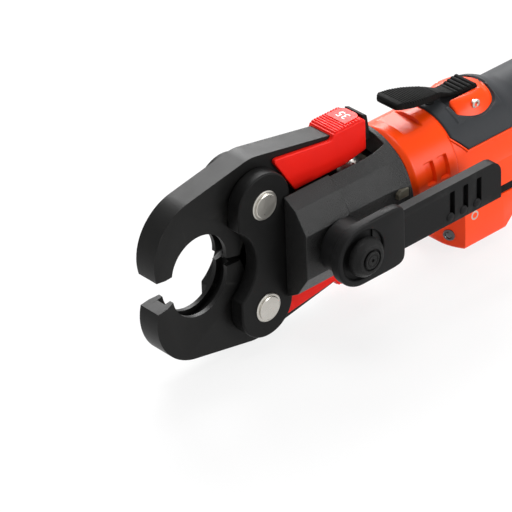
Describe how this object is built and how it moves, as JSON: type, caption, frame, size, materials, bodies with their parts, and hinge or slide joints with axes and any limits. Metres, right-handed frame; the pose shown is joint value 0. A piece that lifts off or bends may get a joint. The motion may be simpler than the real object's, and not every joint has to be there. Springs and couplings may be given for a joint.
{
  "type": "battery press tool",
  "caption": "In-line battery press tool with a swivelling fork, a pinned two-arm press jaw, a thumb trigger on the barrel and a slide-off battery at the rear.",
  "frame": {"origin": "centre of the closed press mouth, on the tool axis", "axes": "+X along the tool from the jaw to the battery, +Z out of the trigger side, Y by the right hand"},
  "size_m": [0.4864, 0.0988, 0.1122],
  "materials": {
    "black_steel": "satin black oxide on forged steel",
    "bright_steel": "turned steel",
    "cast_grey": "coarse painted casting",
    "red_plastic": "satin moulded plastic",
    "orange_plastic": "satin moulded plastic",
    "black_plastic": "matt moulded plastic",
    "soft_grey": "soft overmould",
    "seal_rubber": "soft rubber",
    "drive_metal": "machined",
    "motor_iron": "wound motor can",
    "bronze": "plain bearing metal",
    "board_green": "coated board",
    "clear_lens": "clear lens",
    "cell_wrap": "wrapped cell"
  },
  "bodies": {
    "tool_body": {"press_cylinder": "drive_metal", "cylinder_gland": "bronze", "thrust_washer": "bronze", "return_spring": "bright_steel", "front_collar": "orange_plastic", "shell_near": "orange_plastic", "shell_far": "orange_plastic", "overmould": "soft_grey", "trigger_bracket": "orange_plastic", "trigger_pin": "bright_steel", "trigger_switch": "seal_rubber", "keel_cover": "orange_plastic", "work_light": "clear_lens", "keel_screws": "bright_steel", "circuit_board": "board_green", "status_lens": "clear_lens", "pump_block": "drive_metal", "gearbox": "drive_metal", "motor": "motor_iron", "rear_dock": "black_plastic", "dock_contacts": "bronze", "dock_screws": "bright_steel"},
    "head": {"fork": "cast_grey", "index_tab": "bright_steel", "jaw_plate_near": "black_steel", "jaw_plate_far": "black_steel", "pivot_pin_upper": "bright_steel", "pivot_pin_lower": "bright_steel", "jaw_springs": "bright_steel"},
    "upper_jaw": {"jaw_arm_upper": "black_steel", "tail_grip_upper": "red_plastic", "grip_plate_upper": "black_steel"},
    "lower_jaw": {"jaw_arm_lower": "black_steel", "tail_grip_lower": "red_plastic", "grip_plate_lower": "black_steel"},
    "ram_body": {"ram": "bright_steel", "roller_axles": "bright_steel", "piston_seal": "seal_rubber"},
    "upper_roller": {"press_roller_upper": "bright_steel"},
    "lower_roller": {"press_roller_lower": "bright_steel"},
    "jaw_pin": {"mounting_pin": "bright_steel", "pin_knob": "black_plastic"},
    "pin_button": {"lock_button": "black_plastic"},
    "pin_lever": {"lock_lever": "black_plastic"},
    "trigger": {"trigger_lever": "black_plastic"},
    "release": {"release_button": "black_plastic"},
    "power": {"power_button": "black_plastic"},
    "rotor": {"motor_shaft": "bright_steel"},
    "battery": {"battery_case": "black_plastic", "battery_cover": "black_plastic", "battery_cells": "cell_wrap"},
    "near_latch": {"battery_latch_near": "red_plastic"},
    "far_latch": {"battery_latch_far": "red_plastic"}
  },
  "joints": [
    {"name": "head_swivel", "type": "hinge", "parent": "tool_body", "child": "head", "pos_m": [0, 0, 0], "axis": [1, 0, 0], "range_deg": [-45, 36]},
    {"name": "ram_stroke", "type": "slide", "parent": "head", "child": "ram_body", "axis": [-1, 0, 0], "range_m": [-0.022, 0.0176], "deforming": ["return_spring"]},
    {"name": "upper_jaw_swing", "type": "hinge", "parent": "head", "child": "upper_jaw", "pos_m": [0.0325, 0, 0.0312], "axis": [0, -1, 0], "range_deg": [-10.05, 8.05]},
    {"name": "lower_jaw_swing", "type": "hinge", "parent": "head", "child": "lower_jaw", "pos_m": [0.0325, 0, -0.0312], "axis": [0, 1, 0], "range_deg": [-10.05, 8.05]},
    {"name": "upper_roller_spin", "type": "hinge", "parent": "ram_body", "child": "upper_roller", "pos_m": [0.1076, 0, 0.011], "axis": [0, 1, 0], "continuous": true},
    {"name": "lower_roller_spin", "type": "hinge", "parent": "ram_body", "child": "lower_roller", "pos_m": [0.1076, 0, -0.011], "axis": [0, 1, 0], "continuous": true},
    {"name": "jaw_pin_pull", "type": "slide", "parent": "head", "child": "jaw_pin", "axis": [0, -1, 0], "range_m": [0, 0.055]},
    {"name": "pin_button_press", "type": "slide", "parent": "jaw_pin", "child": "pin_button", "axis": [0, 1, 0], "range_m": [0, 0.002], "stiffness_N_per_m": 800, "springref_m": -0.002},
    {"name": "pin_lever_swing", "type": "hinge", "parent": "jaw_pin", "child": "pin_lever", "pos_m": [0.0685, 0, 0], "axis": [0, -1, 0], "range_deg": [0, 90]},
    {"name": "trigger_press", "type": "hinge", "parent": "tool_body", "child": "trigger", "pos_m": [0.1877, 0, 0.0266], "axis": [0, -1, 0], "range_deg": [0, 5], "stiffness_Nm_per_rad": 2, "springref_deg": -5.73},
    {"name": "release_press", "type": "slide", "parent": "tool_body", "child": "release", "axis": [0, 0, -1], "range_m": [0, 0.002], "stiffness_N_per_m": 800, "springref_m": -0.002},
    {"name": "power_press", "type": "slide", "parent": "tool_body", "child": "power", "axis": [0, 0, -1], "range_m": [0, 0.002], "stiffness_N_per_m": 800, "springref_m": -0.002},
    {"name": "motor_spin", "type": "hinge", "parent": "tool_body", "child": "rotor", "pos_m": [0.33, 0, 0], "axis": [1, 0, 0], "continuous": true},
    {"name": "battery_slide", "type": "slide", "parent": "tool_body", "child": "battery", "axis": [0, 0, 1], "range_m": [0, 0.1]},
    {"name": "near_latch_press", "type": "slide", "parent": "battery", "child": "near_latch", "axis": [0, 1, 0], "range_m": [0, 0.003], "stiffness_N_per_m": 1000, "springref_m": -0.002},
    {"name": "far_latch_press", "type": "slide", "parent": "battery", "child": "far_latch", "axis": [0, -1, 0], "range_m": [0, 0.003], "stiffness_N_per_m": 1000, "springref_m": -0.002}
  ],
  "couplings": [
    {"joint": "upper_jaw_swing", "follows": "ram_stroke", "rad_per_m": 7.9333},
    {"joint": "lower_jaw_swing", "follows": "ram_stroke", "rad_per_m": 7.9333}
  ]
}
